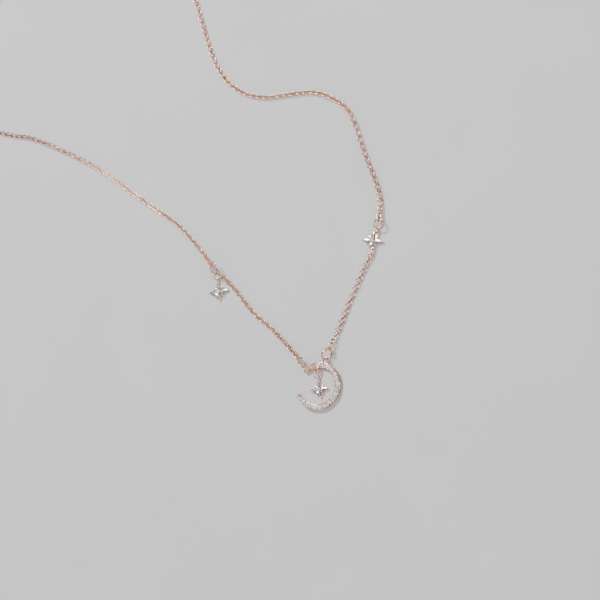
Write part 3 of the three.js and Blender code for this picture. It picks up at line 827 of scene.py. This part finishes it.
def star_piece(name, loops, up, size=1.0):
    """A star and its stone on the body of the same name, with its top ray in the direction up."""
    place = middle(name + "_stone")
    centre = Vector((place.x, place.y, 0.0))
    mesh = settle(star_mesh(name + "_look", loops, size), placed(centre, up - 90), 35)
    # The stars take the paler copy of the rose gold, a painted highlight.
    new_piece(name + "_look", mesh, PAINTED_LIT_GOLD, name, [name], smooth=False)
    spot = centre + UP * (BEZEL_TOP - 0.1) * MM
    gem_piece(name + "_stone", name, STAR_STONE * size, spot, up + 11)


def charm_loop(out, half_length):
    verts, faces = wire_oval(half_length, 0.48, 0.13, 40, 12)
    turn = Matrix.Rotation(math.pi / 2, 4, "Z") @ Matrix.Rotation(math.pi / 2, 4, "X")
    return [turn @ v + Vector((0.0, out, 0.64)) for v in verts], faces


def connector_loop(x, y):
    verts, faces = wire_oval(0.5, 0.5, 0.14, 36, 12)
    return [v + Vector((x, y, 0.57)) for v in verts], faces


star_piece("centre_star", [charm_loop(2.55, 0.9)], 101.6, 0.85)
star_piece("left_star", [charm_loop(2.9, 1.15)], 101)
star_piece("right_star", [connector_loop(*CONNECTOR_UPPER), connector_loop(*CONNECTOR_LOWER)], 84)

# ---- Lobster clasp -----------------------------------------------------------------------

HOOK_CENTRE, HOOK_RADIUS, HOOK_HALF, HOOK_TIP = (6.6, 0.35), 1.95, 0.5, -48
CLASP_THICKNESS, EYE_RIM, EYE_HOLE, EYE_THICKNESS, SLOT = 2.0, 1.02, 0.5, 0.76, 0.9
PIVOT, RIVET_RADIUS, RIVET_HOLE = (3.1, -0.55), 0.3, 0.33
LEVER_BOTTOM, LEVER_THICKNESS, LEVER_HUB = 0.58, 0.6, 0.74
SPRING_RADIUS, SPRING_WIRE, SPRING_BOTTOM = 0.52, 0.05, 1.3


def arc(centre, radius, start, stop, count):
    out = []
    for i in range(count + 1):
        step = toward(start + (stop - start) * i / count, radius)
        out.append((centre[0] + step.x, centre[1] + step.y))
    return out


def upright_post(radius, bottom, top, at=(0.0, 0.0)):
    verts, faces = lathe([(0, bottom), (radius, bottom), (radius, top), (0, top)], 32)
    return [v + Vector((*at, 0.0)) for v in verts], faces


def hook_band():
    """The hook: a rounded band bent round its centre, a little slimmer towards its tip."""
    rows = []
    steps = 60
    for i in range(steps + 1):
        angle = HOOK_TIP + (200 - HOOK_TIP) * i / steps
        size = 1.0 - 0.35 * max(0.0, 1 - i / 6) ** 2
        section = rounded_section(HOOK_HALF, HOOK_HALF, CLASP_THICKNESS, 0.24, 0.24)
        centre = Vector((*HOOK_CENTRE, CLASP_THICKNESS / 2)) + toward(angle, HOOK_RADIUS)
        rows.append([
            centre + toward(angle, across * size) + UP * ((up - CLASP_THICKNESS / 2) * size)
            for across, up in section])
    return lofted(rows)


def clasp_body_mesh():
    """The hook with its shank and eye, cut for the lever's slot, the eye's hole and the rivet."""
    shank = [
        (0.6, -0.5), (1.0, -0.8), (1.5, -1.12), (2.0, -1.32), (2.6, -1.42), (3.2, -1.42),
        (3.7, -1.28), (4.15, -1.0), (4.4, -0.6), (4.5, -0.2), (4.6, 0.8), (5.0, 1.8), (4.7, 2.0),
        (4.2, 1.92), (3.6, 1.75), (2.9, 1.52), (2.2, 1.25), (1.4, 0.9), (0.6, 0.5)]
    opening = [
        (2.1, -2.6), (2.1, -0.4), (2.6, 0.35), (3.4, 0.7), (5.5, 1.75), (6.2, 0.2), (6.2, -2.6)]
    half = CLASP_THICKNESS / 2
    return combined(
        "clasp_body_look",
        hook_band(),
        [bevelled_slab(shank, 0.0, CLASP_THICKNESS, 0.2),
         bevelled_slab(arc((0, 0), EYE_RIM, 0, 345, 23), half - EYE_THICKNESS / 2,
                       half + EYE_THICKNESS / 2, 0.16)],
        [bevelled_slab(opening, half - SLOT / 2, half + SLOT / 2, 0.0),
         upright_post(EYE_HOLE, -0.5, CLASP_THICKNESS + 0.5),
         upright_post(RIVET_HOLE, -0.5, CLASP_THICKNESS + 0.5, at=PIVOT)])


def clasp_lever_mesh():
    """The lever about its pivot: a hub, the gate that closes the hook and the thumb's tab."""
    gate = [
        (-0.1, -0.62), (0.6, -0.74), (1.2, -0.95), (1.8, -1.15), (2.4, -1.35), (3.0, -1.47),
        (3.6, -1.5), (4.1, -1.42), (4.25, -1.2), (4.22, -0.95), (4.08, -0.82), (3.4, -0.82),
        (2.9, -0.75), (2.4, -0.62), (1.9, -0.42), (1.4, -0.18), (0.8, 0.2), (0.35, 0.5)]
    tab = [
        (-0.5, -0.2), (-0.62, -0.8), (-0.72, -1.3), (-0.84, -1.7), (-0.84, -1.98),
        (-0.62, -2.16), (-0.3, -2.18), (0.0, -2.06), (0.2, -1.75), (0.3, -1.4), (0.4, -0.9),
        (0.5, -0.4)]
    return combined(
        "clasp_lever_look",
        bevelled_slab(arc((0, 0), LEVER_HUB, 0, 348, 29), 0.0, LEVER_THICKNESS, 0.1),
        [bevelled_slab(shape, 0.0, LEVER_THICKNESS, 0.12) for shape in (gate, tab)],
        [upright_post(RIVET_HOLE, -0.5, LEVER_THICKNESS + 0.5)])


def spring_parts():
    """A turn and a quarter of wire, rising by 0.12 mm."""
    coil = [
        toward(-60 + 450 * k / 60, SPRING_RADIUS) + UP * (0.12 * k / 60 - 0.06) for k in range(61)]
    return tube_along(coil, SPRING_WIRE, 10, False)


def rivet_parts():
    return lathe([
        (0, 0.0), (0.2, 0.01), (0.27, 0.05), (RIVET_RADIUS, 0.12), (RIVET_RADIUS, 1.88),
        (0.27, 1.95), (0.2, 1.99), (0, 2.0)], 32)


ring_middle = middle("clasp_ring")
clasp_at = placed(
    Vector((ring_middle.x, ring_middle.y, 0.0)) + toward(CLASP_HEADING, CLASP_RING_RADIUS) * MM,
    CLASP_HEADING)
pivot_at = clasp_at @ Matrix.Translation(Vector((*PIVOT, 0.0)) * MM)


def clasp_piece(node, body, mesh, matrix, material):
    mesh = settle(mesh, matrix, 50)
    return new_piece(node + "_look", mesh, material, body, [node], smooth=False)


def raised(matrix, height):
    return matrix @ Matrix.Translation(UP * height * MM)


clasp_parts = [
    clasp_piece("clasp_body", "clasp", clasp_body_mesh(), clasp_at, ROSE_GOLD),
    clasp_piece("clasp_lever", "clasp_lever", clasp_lever_mesh(), raised(pivot_at, LEVER_BOTTOM),
                PAINTED_LIT_GOLD),
    clasp_piece("clasp_spring", "clasp", mesh_of("clasp_spring_look", *spring_parts()),
                raised(pivot_at, SPRING_BOTTOM), SPRING_STEEL),
    clasp_piece("clasp_rivet", "clasp", mesh_of("clasp_rivet_look", *rivet_parts()), pivot_at,
                PAINTED_LIT_GOLD),
]

# ---- End drop ----------------------------------------------------------------------------

DROP_LENGTH, DROP_RADIUS, DROP_LOOP, DROP_WIRE = 4.6, 1.35, 0.72, 0.16
DROP_OVERLAP = 0.1  # how far the loop sits inside the drop's thin end
drop_profile = [  # radius and length, as shares of the drop's
    (0, 0), (0.24, 0.05), (0.3, 0.16), (0.36, 0.3), (0.5, 0.43), (0.66, 0.52), (0.8, 0.61),
    (0.9, 0.68), (0.97, 0.76), (1.0, 0.83), (0.97, 0.89), (0.88, 0.94), (0.7, 0.975),
    (0.4, 0.995), (0, 1)]
tear, tear_faces = lathe([(r * DROP_RADIUS, z * DROP_LENGTH) for r, z in drop_profile], 40)
lying = Matrix.Rotation(math.pi / 2, 4, "Y")
hoop, hoop_faces = wire_oval(DROP_LOOP, DROP_LOOP, DROP_WIRE, 40, 12)
hoop_at = Vector((DROP_OVERLAP - DROP_LOOP, 0.0, 0.0))
drop_mesh = mesh_of("end_drop_look", *merged([
    (moved(tear, lying), tear_faces), ([v + hoop_at for v in hoop], hoop_faces)]))
last_link = middle("extender_link_at_drop")
drop_at = Vector((last_link.x, last_link.y, DROP_RADIUS * MM))
drop_at += toward(extender_heading, 1.25 + DROP_LOOP - DROP_OVERLAP) * MM
end_drop = new_piece(
    "end_drop_look", settle(drop_mesh, placed(drop_at, extender_heading)), PAINTED_LIT_GOLD,
    "end_drop", ["end_drop"], smooth=False)

# ---- The chains' lines and lengths without the stretches inside their end links, worked out and not used ---


def declare(chain):
    piece, line, length = chain
    length -= (line[INSIDE] - line[0]).length + (line[-1] - line[-1 - INSIDE]).length
    line = line[INSIDE:-INSIDE]


declare(left_lower)
declare(left_upper)
declare(right_upper)
declare(extender)

# ---- Floor and light ---------------------------------------------------------------------


def make_floor():
    material, tree, shader = new_material("floor")
    grain = mapped_noise(tree, 35.0, 3.0)
    tone = blended(tree, grain.outputs["Fac"], (0.53, 0.53, 0.54), (0.59, 0.59, 0.60))
    tree.links.new(tone, shader.inputs["Base Color"])
    shader.inputs["Roughness"].default_value = 0.75
    corners = ((-4, -4), (4, -4), (4, 4), (-4, 4))
    mesh = mesh_of("floor", [Vector((x, y, -0.02 * MM)) for x, y in corners], [(0, 1, 2, 3)])
    mesh.materials.append(material)
    floor = bpy.data.objects.new("floor", mesh)
    bpy.context.scene.collection.objects.link(floor)


def area_light(name, place, size, power, color):
    data = bpy.data.lights.new(name, "AREA")
    data.shape = "RECTANGLE"
    data.size, data.size_y = size
    data.energy = power
    data.color = color
    light = bpy.data.objects.new(name, data)
    light.location = place
    aim = PENDANT * 0.3 - Vector(place)
    light.rotation_euler = aim.to_track_quat("-Z", "Y").to_euler()
    bpy.context.scene.collection.objects.link(light)


def make_light():
    world = bpy.data.worlds.new("studio")
    world.use_nodes = True
    tree = world.node_tree
    sky = tree.nodes["Background"]
    place = tree.nodes.new("ShaderNodeTexCoord")
    height = tree.nodes.new("ShaderNodeSeparateXYZ")
    tree.links.new(place.outputs["Generated"], height.inputs["Vector"])
    strength = ranged(tree, height.outputs["Z"], 0.02, 0.16, 0.05, 0.95)
    tree.links.new(strength, sky.inputs["Strength"])
    sky.inputs["Color"].default_value = (0.80, 0.82, 0.86, 1.0)
    bpy.context.scene.world = world
    area_light("key", (-0.30, 0.45, 0.70), (0.26, 0.26), 11.5, (1.0, 0.97, 0.94))
    area_light("fill", (0.75, 0.1, 0.5), (0.3, 0.5), 3.5, (0.95, 0.97, 1.0))
    area_light("rim", (-0.2, -0.7, 0.35), (0.6, 0.2), 2.5, (1.0, 0.96, 0.92))
    area_light("panel", (-0.33, 0.09, 0.74), (0.55, 0.45), 0.9, (1.0, 0.98, 0.96))
    area_light("strip", (0.15, -0.25, 0.8), (0.5, 0.05), 2.0, (1.0, 1.0, 1.0))


make_floor()
make_light()
